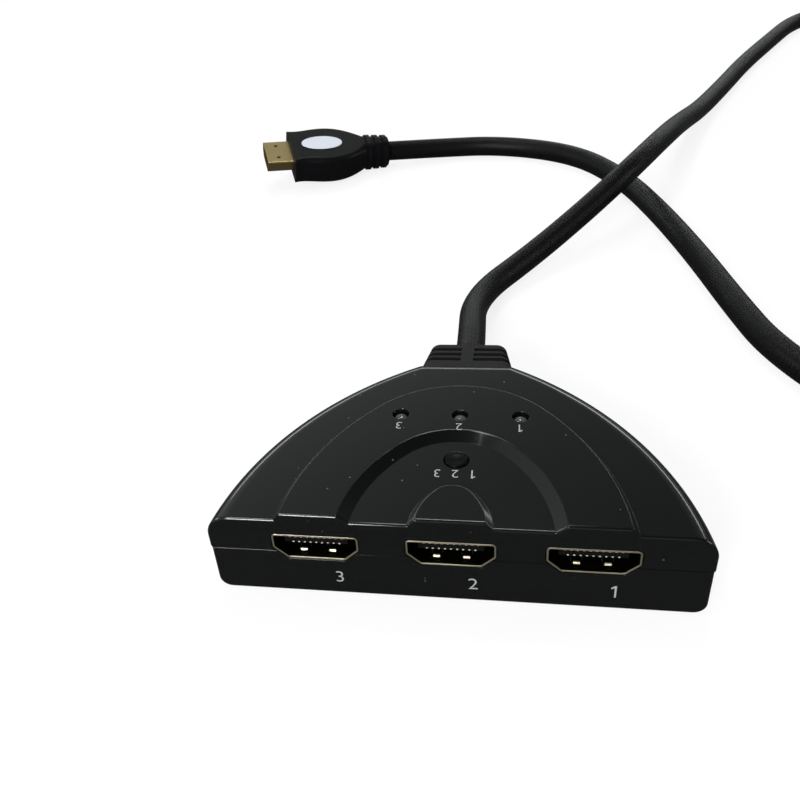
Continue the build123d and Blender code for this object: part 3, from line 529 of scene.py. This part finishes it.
# A cell holds a speck by chance, more often where the slow noise is high.
near = maths(wear, "LESS_THAN", speck_cells.outputs["Distance"], SPECK_RADIUS)
chance = maths(wear, "MULTIPLY", wear_in.outputs["Specks"], sheen.outputs["Fac"])
lucky = maths(
    wear,
    "GREATER_THAN",
    add_node(wear, "ShaderNodeSeparateColor", _0=speck_cells.outputs["Color"]).outputs[0],
    maths(wear, "SUBTRACT", 1.0, chance),
)
wear.links.new(maths(wear, "MULTIPLY", near, lucky), wear_out.inputs["Dust"])
wear.links.new(sheen.outputs["Fac"], wear_out.inputs["Sheen"])
wear.links.new(grain.outputs["Fac"], wear_out.inputs["Grain"])


def moulded(
    name,
    color,
    roughness,
    sheen_range=0.1,
    specks=0.0,
    grain_depth=0.0,
    specular=0.5,
    dust=(0.12, 0.12, 0.12),
    rounding=0.0,
):
    """A moulded plastic or rubber: specks, a little change of sheen, a fine grain or softened edges."""
    made, shader = material(name, color, roughness)
    shader.inputs["Specular IOR Level"].default_value = specular
    tree = made.node_tree
    used = add_node(tree, "ShaderNodeGroup", {"node_tree": wear}, Specks=specks)
    tree.links.new(mixed_color(tree, used.outputs["Dust"], color, dust), shader.inputs["Base Color"])
    lowest = roughness - sheen_range / 2
    clean = maths(tree, "MULTIPLY_ADD", used.outputs["Sheen"], sheen_range, lowest)
    rough = maths(tree, "MULTIPLY_ADD", used.outputs["Dust"], DUST_ROUGHNESS, clean)
    tree.links.new(rough, shader.inputs["Roughness"])
    if grain_depth:
        bump = add_node(
            tree,
            "ShaderNodeBump",
            Height=used.outputs["Grain"],
            Strength=GRAIN_BUMP,
            Distance=grain_depth,
        )
        tree.links.new(bump.outputs["Normal"], shader.inputs["Normal"])
    if rounding:
        softened = add_node(tree, "ShaderNodeBevel", {"samples": BEVEL_SAMPLES}, Radius=rounding)
        tree.links.new(softened.outputs["Normal"], shader.inputs["Normal"])
    return made


gloss_black = moulded(
    "gloss_black",
    SHELL_COLOR,
    roughness=0.1,
    sheen_range=0.06,
    specks=0.045,
    specular=0.45,
    dust=(0.04, 0.04, 0.04),
    rounding=EDGE_ROUNDING,
)
dress("upper_shell", "top_half", gloss_black)
dress("lower_shell", "bottom_half", gloss_black)

# Strain relief. A soft rubber moulding, matt and a little greyer than the box, with three slots
# cut round each side so that it bends with the lead.
rubber = moulded(
    "matt_rubber",
    (0.007, 0.007, 0.007),
    roughness=0.6,
    specks=0.2,
    grain_depth=0.04 * MM,
    specular=0.12,
    dust=(0.04, 0.04, 0.04),
)
dress("strain_relief", "lead_boot", rubber)

# Sockets. Each is a folded shell of thin plated steel round a black insulator, whose tongue
# carries ten contacts above and nine below. The rims catch the light, and painted shade darkens the
# plating inside.
SOCKET_GOLD = (0.95, 0.85, 0.62)
SOCKET_SHADE = (0.02, 0.016, 0.01)
SOCKET_SHADE_DEPTH = 0.22 * MM
SOCKET_PITCH = 22.8 * MM
SPRING_SPACING, SPRING_WIDTH = 5.0 * MM, 1.1 * MM
SPRING_DEPTH, SPRING_REACH = 1.95 * MM, 0.35 * MM
RIM_ROUNDING = 0.12 * MM
socket_metal, socket_shader = material("pale_gold_plate", SOCKET_GOLD, roughness=0.38, metallic=1.0)
socket_nodes = socket_metal.node_tree
# The plating's colour carries painted shade: it goes from gold at the front face to a dark brown a little
# way inside each socket.
socket_place = add_node(socket_nodes, "ShaderNodeTexCoord").outputs["Object"]
in_socket = add_node(socket_nodes, "ShaderNodeSeparateXYZ", _0=socket_place)
inwards = add_node(
    socket_nodes,
    "ShaderNodeMapRange",
    _0=in_socket.outputs["Y"],
    _1=front_y,
    _2=front_y + SOCKET_SHADE_DEPTH,
    _3=0.0,
    _4=1.0,
)
# Painted shade: the plating's colour darkens from the rim inwards, except on the two springs in each
# floor, which keep the plain gold where they bulge up.
in_pitch = maths(socket_nodes, "WRAP", in_socket.outputs["X"], SOCKET_PITCH / 2, -SOCKET_PITCH / 2)
from_middle = maths(socket_nodes, "ABSOLUTE", in_pitch)
in_column = maths(socket_nodes, "COMPARE", from_middle, SPRING_SPACING / 2, SPRING_WIDTH / 2)
in_row = maths(socket_nodes, "COMPARE", in_socket.outputs["Y"], front_y + SPRING_DEPTH, SPRING_REACH)
off_spring = maths(socket_nodes, "SUBTRACT", 1.0, maths(socket_nodes, "MULTIPLY", in_column, in_row))
shaded = maths(socket_nodes, "MULTIPLY", inwards.outputs["Result"], off_spring)
plating_and_painted_shade = mixed_color(socket_nodes, shaded, SOCKET_GOLD, SOCKET_SHADE)
socket_nodes.links.new(plating_and_painted_shade, socket_shader.inputs["Base Color"])
rounded = add_node(socket_nodes, "ShaderNodeBevel", {"samples": BEVEL_SAMPLES}, Radius=RIM_ROUNDING)
socket_nodes.links.new(rounded.outputs["Normal"], socket_shader.inputs["Normal"])
insulator = moulded(
    "matt_insulator",
    (0.003, 0.003, 0.003),
    roughness=0.5,
    specks=0.05,
    specular=0.1,
    dust=(0.02, 0.02, 0.02),
)
contact_gold = material("contact_gold", (0.98, 0.92, 0.76), roughness=0.45, metallic=0.7)[0]
for number in (1, 2, 3):
    dress(f"socket_shell_{number}", f"socket_frame_{number}", socket_metal)
    dress(f"socket_tongue_{number}", f"socket_insulator_{number}", insulator)
    dress(f"socket_contacts_{number}", f"socket_pins_{number}", contact_gold)

# Indicator lights. Three domes of clear cast resin, each just below the rim of its hole and over
# its own wire legs.
RESIN_CLEARNESS, RESIN_IOR = 0.8, 1.5
clear, clear_shader = material("clear_resin", (0.24, 0.25, 0.25), roughness=0.04)
clear_shader.inputs["Transmission Weight"].default_value = RESIN_CLEARNESS
clear_shader.inputs["IOR"].default_value = RESIN_IOR
for number in (1, 2, 3):
    dress(f"led_{number}", f"light_{number}", clear)

# Select button. A round cap moulded in the same black, its top dished for a fingertip. It stands
# on the plunger of a tact switch and goes straight down with it.
button_black = moulded(
    "button_plastic",
    (0.0015, 0.0015, 0.0016),
    roughness=0.3,
    sheen_range=0.06,
    specks=0.05,
    specular=0.05,
    dust=(0.03, 0.03, 0.03),
)
dress("select_button", "button_cap", button_black, "button")

# Plug. A satin moulded grip with three ribs on its tail, a gold-plated shell with two latch
# holes, and a bare oval plate let into the top.
satin = moulded(
    "satin_overmould",
    (0.003, 0.003, 0.0035),
    roughness=0.36,
    sheen_range=0.08,
    specks=0.08,
    grain_depth=0.02 * MM,
    specular=0.07,
    dust=(0.03, 0.03, 0.03),
)
plate = moulded(
    "pale_plate", (0.5, 0.53, 0.58), roughness=0.3, sheen_range=0.06, specks=0.1, dust=(0.5, 0.5, 0.5)
)
gold = material("bright_gold", (0.42, 0.325, 0.145), roughness=0.3, metallic=1.0)[0]
plug_pieces = [
    dress("plug_overmold", "plug_grip", satin),
    dress("plug_badge", "plug_plate", plate),
    dress("plug_shell", "plug_tip", gold),
]

# Inside the plug. A block of black insulator fills the back of the metal shell, and its slot
# holds nineteen gold-plated contacts.


def fill_slots(node, finish):
    """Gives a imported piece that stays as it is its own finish."""
    mesh = nodes[node].data
    mesh.materials.clear()
    mesh.materials.append(finish)


fill_slots("plug_insulator", insulator)
fill_slots("plug_contacts", contact_gold)

# Circuit board. Glass fibre under a green solder mask, in which the copper traces show as slightly
# lighter bands. It stands on the posts of the bottom half.
BOARD_GREEN = (0.003, 0.022, 0.01)
TRACE_GREEN = (0.006, 0.045, 0.018)
TRACES_PER_METRE, TRACE_EDGE = 420.0, 0.06
TRACE_BUMP, TRACE_DEPTH = 0.4, 0.03 * MM
board_look, board_shader = material("green_mask", BOARD_GREEN, roughness=0.3)
board_nodes = board_look.node_tree
lanes = add_node(
    board_nodes,
    "ShaderNodeTexBrick",
    {"offset": 0.5},
    Vector=add_node(board_nodes, "ShaderNodeTexCoord").outputs["Object"],
    Scale=TRACES_PER_METRE,
    Color1=(*BOARD_GREEN, 1),
    Color2=(*BOARD_GREEN, 1),
    Mortar=(*TRACE_GREEN, 1),
    Mortar_Size=TRACE_EDGE,
)
board_nodes.links.new(lanes.outputs["Color"], board_shader.inputs["Base Color"])
raised = add_node(
    board_nodes, "ShaderNodeBump", Height=lanes.outputs["Fac"], Strength=TRACE_BUMP, Distance=TRACE_DEPTH
)
board_nodes.links.new(raised.outputs["Normal"], board_shader.inputs["Normal"])
fill_slots("circuit_board", board_look)

# Parts on the board. Moulded black packages, tinned leads, dark film resistors, brown ceramic
# capacitors, the tact switch under the button and the wire legs of the lights.
PLATING_DETAIL = 4.0


def worn_metal(name, color, roughness, patch_scale, sheen_range=0.2):
    """A metal whose sheen changes a little from place to place."""
    made, shader = material(name, color, roughness, metallic=1.0)
    tree = made.node_tree
    patches = add_node(
        tree,
        "ShaderNodeTexNoise",
        Vector=add_node(tree, "ShaderNodeTexCoord").outputs["Object"],
        Scale=patch_scale,
        Detail=PLATING_DETAIL,
    )
    lowest = roughness - sheen_range / 2
    rough = maths(tree, "MULTIPLY_ADD", patches.outputs["Fac"], sheen_range, lowest)
    tree.links.new(rough, shader.inputs["Roughness"])
    return made


tinned = worn_metal("tinned_wire", (0.62, 0.62, 0.6), roughness=0.35, patch_scale=900.0)
steel = worn_metal("zinc_steel", (0.5, 0.51, 0.52), roughness=0.32, patch_scale=700.0)
package = moulded(
    "black_package", (0.014, 0.014, 0.015), roughness=0.55, specks=0.1, grain_depth=0.02 * MM
)
switch_black = moulded(
    "switch_plastic", (0.02, 0.02, 0.021), roughness=0.45, specks=0.1, grain_depth=0.02 * MM
)
resistor_look = moulded("resistor_film", (0.02, 0.02, 0.022), roughness=0.35, specks=0.1)
capacitor_look = moulded(
    "capacitor_ceramic", (0.36, 0.25, 0.15), roughness=0.4, specks=0.1, grain_depth=0.01 * MM
)
jacket = moulded("wire_jacket", (0.5, 0.5, 0.48), roughness=0.45, specks=0.1)
for node, finish in (
    ("case_screws", steel),
    ("cord_ferrule", steel),
    ("cord_wires", jacket),
    ("led_leads", tinned),
    ("switch_terminals", tinned),
    ("switch_chip_leads", tinned),
    ("control_chip_leads", tinned),
    ("regulator_leads", tinned),
    ("switch_cover", steel),
    ("switch_plunger", switch_black),
    ("switch_body", switch_black),
    ("switch_chip", package),
    ("control_chip", package),
    ("regulator", package),
    ("resistors", resistor_look),
    ("capacitors", capacitor_look),
):
    fill_slots(node, finish)

# Snap dome. A thin sprung steel dish under the switch's plunger, which flattens as the button
# goes down and snaps back.
dome = dress("switch_dome", "snap_dome", steel)
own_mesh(dome)

# Printed numbers. Thin pale grey pad-printed numerals under the sockets, by the lights and beside
# the button. Those on the top are turned, to be read from the back.
PRINT_COLOR = (0.28, 0.29, 0.29)
PRINT_THICKNESS = 0.012 * MM
SOCKET_NUMBER_OFFSET, SOCKET_NUMBER_HEIGHT, SOCKET_NUMBER_SIZE = 3.6 * MM, 4.15 * MM, 2.7 * MM
LIGHT_NUMBER_Y, LIGHT_NUMBER_SIZE = 24.85 * MM, 2.1 * MM
BUTTON_NUMBER_Y, BUTTON_NUMBER_SIZE, BUTTON_NUMBER_GAP = 13.4 * MM, 2.1 * MM, 3.1 * MM
RING_LEVEL, BASE_LEVEL = 18.2 * MM, 16.8 * MM
CAPITAL_SHARE = 0.72
STROKE_TRIM_SHARE = 0.01
LETTER_STEPS = 6
print_ink = moulded("pale_print", PRINT_COLOR, roughness=0.5, specular=0.3)

# A one with a plain stem and a flag, as shares of the letter's height.
ONE_OUTLINE = [
    (0.02, 0.72),
    (0.11, 0.72),
    (0.11, 0.0),
    (0.03, 0.0),
    (0.03, 0.6),
    (-0.12, 0.52),
    (-0.12, 0.6),
]


def one_mesh(name, size):
    """A flat one, cut from its outline."""
    shape = bmesh.new()
    outline = [shape.verts.new((x * size, y * size, 0)) for x, y in ONE_OUTLINE]
    face = shape.faces.new(outline)
    raised_face = bmesh.ops.extrude_face_region(shape, geom=[face])
    lifted = [item for item in raised_face["geom"] if isinstance(item, bmesh.types.BMVert)]
    bmesh.ops.translate(shape, verts=lifted, vec=(0, 0, PRINT_THICKNESS))
    bmesh.ops.recalc_face_normals(shape, faces=shape.faces)
    mesh = bpy.data.meshes.new(name)
    shape.to_mesh(mesh)
    shape.free()
    return mesh


def text_mesh(name, digit, size):
    """A flat digit in the plain built-in letters, its strokes trimmed a little."""
    text = bpy.data.curves.new(name, "FONT")
    text.body = digit
    text.size = size
    text.extrude = PRINT_THICKNESS / 2
    text.resolution_u = LETTER_STEPS
    text.offset = -STROKE_TRIM_SHARE * size
    return plain_mesh(name, text)


def numeral(name, digit, height, middle, facing):
    """One printed digit with its middle at a place, turned by a rotation."""
    size = height / CAPITAL_SHARE
    mesh = one_mesh(name, size) if digit == "1" else text_mesh(name, digit, size)
    spans = [[vertex.co[axis] for vertex in mesh.vertices] for axis in range(3)]
    own_middle = Vector([(min(span) + max(span)) / 2 for span in spans])
    mesh.transform(Matrix.Translation(-own_middle))
    mesh.transform(Matrix.Translation(middle) @ facing.to_4x4())
    mesh.materials.clear()
    mesh.materials.append(print_ink)
    piece = bpy.data.objects.new(name, mesh)
    scene.collection.objects.link(piece)
    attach(piece, "housing")


upright = Matrix.Rotation(math.radians(90), 3, "X")
to_the_back = Matrix.Rotation(math.radians(180), 3, "Z")
for step, digit in enumerate("321"):
    socket_x = (step - 1) * SOCKET_PITCH + SOCKET_NUMBER_OFFSET
    socket_spot = Vector((socket_x, front_y - PRINT_THICKNESS / 2, SOCKET_NUMBER_HEIGHT))
    numeral(f"socket_number_{digit}", digit, SOCKET_NUMBER_SIZE, socket_spot, upright)
    light_low, light_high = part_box(f"led_{digit}")
    light_x = (light_low[0] + light_high[0]) / 2
    light_spot = Vector((light_x, front_y + LIGHT_NUMBER_Y, RING_LEVEL + PRINT_THICKNESS / 2))
    numeral(f"light_number_{digit}", digit, LIGHT_NUMBER_SIZE, light_spot, to_the_back)
    button_x = (step - 1) * BUTTON_NUMBER_GAP
    button_spot = Vector((button_x, front_y + BUTTON_NUMBER_Y, BASE_LEVEL + PRINT_THICKNESS / 2))
    numeral(f"button_number_{digit}", digit, BUTTON_NUMBER_SIZE, button_spot, to_the_back)

# Stage: a plain white floor that keeps the shadow, white surroundings, and soft lamps that draw
# thin lights along the edges. What the gloss mirrors is dim, as it was in the photograph.
FLOOR_SIDE = 8.0
FLOOR_BELOW = 0.05 * MM
FLOOR_WHITE = 0.8
FLOOR_WHITE_SHARE = 0.82
FLOOR_MIRRORED = 0.1
WHITE = (1, 1, 1, 1)


def mixed_shader(tree, share, first, second):
    """Two shaders mixed by a share."""
    return add_node(tree, "ShaderNodeMixShader", _0=share, _1=first, _2=second).outputs[0]


half = FLOOR_SIDE / 2
floor_mesh = bpy.data.meshes.new("floor")
floor_mesh.from_pydata(
    [(x, y, -FLOOR_BELOW) for x, y in ((-half, -half), (half, -half), (half, half), (-half, half))],
    [],
    [(0, 1, 2, 3)],
)
floor = bpy.data.objects.new("floor", floor_mesh)
scene.collection.objects.link(floor)
floor_look, floor_shader = material("white_floor", (FLOOR_WHITE, FLOOR_WHITE, FLOOR_WHITE), roughness=0.9)
floor_shader.inputs["Specular IOR Level"].default_value = 0.0
floor_nodes = floor_look.node_tree
floor_rays = add_node(floor_nodes, "ShaderNodeLightPath")
white = add_node(floor_nodes, "ShaderNodeEmission", Color=WHITE, Strength=1.0)
dim = add_node(floor_nodes, "ShaderNodeEmission", Color=WHITE, Strength=FLOOR_MIRRORED)
white_share = maths(floor_nodes, "MULTIPLY", floor_rays.outputs["Is Camera Ray"], FLOOR_WHITE_SHARE)
seen_floor = mixed_shader(floor_nodes, white_share, floor_shader.outputs[0], white.outputs[0])
whole_floor = mixed_shader(floor_nodes, floor_rays.outputs["Is Glossy Ray"], seen_floor, dim.outputs[0])
floor_nodes.links.new(whole_floor, floor_nodes.nodes["Material Output"].inputs["Surface"])
floor_mesh.materials.append(floor_look)

# What the gloss mirrors: a soft wall round the box, brighter to the left and towards the floor.
AMBIENT_COLOR, AMBIENT_LEVEL = (0.8, 0.82, 0.85, 1), 0.6
WALL_COLOR = (0.93, 1.0, 0.97, 1)
WALL_LEVEL, WALL_CEILING, WALL_MIDDLE = 0.3, 0.55, 0.6
WALL_FALL_UP, WALL_FALL_RIGHT = 4.3, 2.2
WALL_FOOT_START, WALL_FOOT_END, WALL_FOOT_LEVEL = 0.18, 0.42, 0.1
world = bpy.data.worlds.new("surroundings")
scene.world = world
world.use_nodes = True
world_nodes = world.node_tree
ambient = world_nodes.nodes["Background"]
ambient.inputs["Color"].default_value = AMBIENT_COLOR
ambient.inputs["Strength"].default_value = AMBIENT_LEVEL
world_rays = add_node(world_nodes, "ShaderNodeLightPath")
world_place = add_node(world_nodes, "ShaderNodeTexCoord").outputs["Generated"]
toward = add_node(world_nodes, "ShaderNodeSeparateXYZ", _0=world_place)
climb = maths(world_nodes, "MULTIPLY_ADD", toward.outputs["Z"], -WALL_FALL_UP, WALL_FALL_UP * WALL_MIDDLE)
falling_up = maths(world_nodes, "EXPONENT", climb)
falling_right = maths(
    world_nodes, "EXPONENT", maths(world_nodes, "MULTIPLY", toward.outputs["X"], -WALL_FALL_RIGHT)
)
wall_foot = add_node(
    world_nodes,
    "ShaderNodeMapRange",
    _0=toward.outputs["Z"],
    _1=WALL_FOOT_START,
    _2=WALL_FOOT_END,
    _3=WALL_FOOT_LEVEL,
    _4=WALL_LEVEL,
)
wall_fall = maths(world_nodes, "MULTIPLY", falling_up, falling_right)
open_light = maths(world_nodes, "MULTIPLY", wall_fall, wall_foot.outputs["Result"])
wall_light = maths(world_nodes, "MINIMUM", open_light, WALL_CEILING)
wall = add_node(world_nodes, "ShaderNodeBackground", Color=WALL_COLOR, Strength=wall_light)
seen_white = add_node(world_nodes, "ShaderNodeBackground", Color=WHITE, Strength=1.0)
glossy, camera_ray = world_rays.outputs["Is Glossy Ray"], world_rays.outputs["Is Camera Ray"]
unseen = mixed_shader(world_nodes, glossy, ambient.outputs[0], wall.outputs[0])
surroundings = mixed_shader(world_nodes, camera_ray, unseen, seen_white.outputs[0])
world_nodes.links.new(surroundings, world_nodes.nodes["World Output"].inputs["Surface"])

# Lamps: name, place, width and height, and power. Each faces the box.
LAMPS = [
    ("overhead_left", (-0.34, -0.12, 0.95), (0.25, 0.2), 2.0),
    ("front_left", (-0.33, -0.9, 0.55), (0.3, 0.3), 12.0),
    ("back_low", (0.0, 1.3, 0.36), (2.2, 0.1), 2.8),
    ("glint", (-0.05, 0.5, 0.87), (0.25, 0.25), 2.5),
    ("right_strip", (1.0, 0.25, 0.35), (0.25, 0.25), 2.0),
    ("left_strip", (-1.0, 0.1, 0.5), (0.25, 0.25), 2.5),
]
for name, place, (width, height), power in LAMPS:
    lamp = bpy.data.lights.new(name, "AREA")
    lamp.shape = "RECTANGLE"
    lamp.size, lamp.size_y = width, height
    lamp.energy = power
    stand = bpy.data.objects.new(name, lamp)
    scene.collection.objects.link(stand)
    stand.location = place
    stand.rotation_euler = (-Vector(place)).to_track_quat("-Z", "Y").to_euler()
